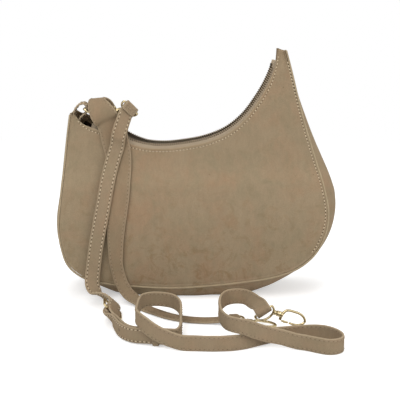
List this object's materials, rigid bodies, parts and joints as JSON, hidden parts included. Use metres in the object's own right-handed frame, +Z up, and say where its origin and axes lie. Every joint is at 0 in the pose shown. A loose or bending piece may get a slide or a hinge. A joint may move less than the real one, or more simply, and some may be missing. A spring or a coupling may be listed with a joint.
{
  "type": "shoulder bag",
  "caption": "Crescent shoulder bag in tan suede with a curved zip mouth, two clip straps, a buckled adjustable shoulder strap and pale gold swivel hooks",
  "frame": {"origin": "On the floor, under the middle of the bag's flat base", "axes": "+X to the right of the viewer who faces the front, +Y from the front to the back, +Z up"},
  "size_m": [0.3166, 0.2249, 0.275],
  "materials": {
    "suede": "brushed matte suede",
    "piping": "matte suede edge",
    "lining": "plain woven, matte",
    "zip_tape": "woven tape, matte",
    "zip_metal": "satin pale gold",
    "gold_metal": "polished pale gold"
  },
  "bodies": {
    "bag": {"front_panel": "suede", "back_panel": "suede", "gusset": "suede", "front_piping": "piping", "back_piping": "piping", "lining": "lining", "left_tab": "suede", "right_tab": "suede", "front_zip_tape": "zip_tape", "back_zip_tape": "zip_tape", "front_zip_teeth": "zip_metal", "back_zip_teeth": "zip_metal", "zip_bottom_stop": "zip_metal", "zip_front_end_stop": "zip_metal", "zip_back_end_stop": "zip_metal", "upper_strap": "suede", "lower_strap": "suede", "shoulder_strap": "suede", "buckle_frame": "gold_metal", "upper_hook_eye": "gold_metal", "lower_hook_eye": "gold_metal", "shoulder_hook_eye": "gold_metal"},
    "left_ring": {"left_d_ring": "gold_metal"},
    "right_ring": {"right_d_ring": "gold_metal"},
    "slider": {"zip_slider": "zip_metal"},
    "pull": {"zip_pull": "zip_metal"},
    "upper_hook": {"upper_hook_body": "gold_metal"},
    "upper_gate": {"upper_hook_gate": "gold_metal"},
    "lower_hook": {"lower_hook_body": "gold_metal"},
    "lower_gate": {"lower_hook_gate": "gold_metal"},
    "shoulder_hook": {"shoulder_hook_body": "gold_metal"},
    "shoulder_gate": {"shoulder_hook_gate": "gold_metal"},
    "prong": {"buckle_prong": "gold_metal"},
    "keeper": {"strap_keeper": "suede"}
  },
  "joints": [
    {"name": "left_ring_swing", "type": "hinge", "parent": "bag", "child": "left_ring", "pos_m": [-0.12165, 0, 0.2101], "axis": [0, 1, 0], "range_deg": [-5, 0]},
    {"name": "right_ring_swing", "type": "hinge", "parent": "bag", "child": "right_ring", "pos_m": [0.0975, 0.01186, 0.24388], "axis": [1, 0, 0], "range_deg": [0, 110]},
    {"name": "zip_slide", "type": "hinge", "parent": "bag", "child": "slider", "pos_m": [-0.03373, 0, 0.30316], "axis": [0, -1, 0], "range_deg": [0, 66]},
    {"name": "pull_swing", "type": "hinge", "parent": "slider", "child": "pull", "pos_m": [-0.09014, 0, 0.18781], "axis": [0, 1, 0], "range_deg": [0, 150]},
    {"name": "upper_hook_swivel", "type": "hinge", "parent": "bag", "child": "upper_hook", "pos_m": [-0.0845, -0.00917, 0.20843], "axis": [-0.8548, 0.3849, -0.3479], "range_deg": [-4, 10]},
    {"name": "upper_gate_open", "type": "hinge", "parent": "upper_hook", "child": "upper_gate", "pos_m": [-0.09024, -0.00807, 0.21257], "axis": [-0.3283, -0.9205, -0.2117], "range_deg": [0, 20], "stiffness_Nm_per_rad": 0.002},
    {"name": "lower_hook_swivel", "type": "hinge", "parent": "bag", "child": "lower_hook", "pos_m": [0.08432, -0.13791, 0.02308], "axis": [0.9324, 0.1203, -0.3409], "range_deg": [-60, 60]},
    {"name": "lower_gate_open", "type": "hinge", "parent": "lower_hook", "child": "lower_gate", "pos_m": [0.08596, -0.13809, 0.01611], "axis": [0.1493, -0.987, 0.0599], "range_deg": [0, 20], "stiffness_Nm_per_rad": 0.002},
    {"name": "shoulder_hook_swivel", "type": "hinge", "parent": "bag", "child": "shoulder_hook", "pos_m": [0.05597, -0.11676, 0.00615], "axis": [0.9326, -0.361, 0], "range_deg": [-20, 20]},
    {"name": "shoulder_gate_open", "type": "hinge", "parent": "shoulder_hook", "child": "shoulder_gate", "pos_m": [0.05743, -0.12377, 0.00615], "axis": [0, 0, 1], "range_deg": [0, 20], "stiffness_Nm_per_rad": 0.002},
    {"name": "prong_lift", "type": "hinge", "parent": "bag", "child": "prong", "pos_m": [-0.0857, -0.10336, 0.0115], "axis": [-0.7043, -0.0845, 0.7048], "range_deg": [0, 7]},
    {"name": "keeper_slide", "type": "slide", "parent": "bag", "child": "keeper", "axis": [0.9841, -0.1774, 0.0062], "range_m": [-0.003, 0.003]}
  ]
}
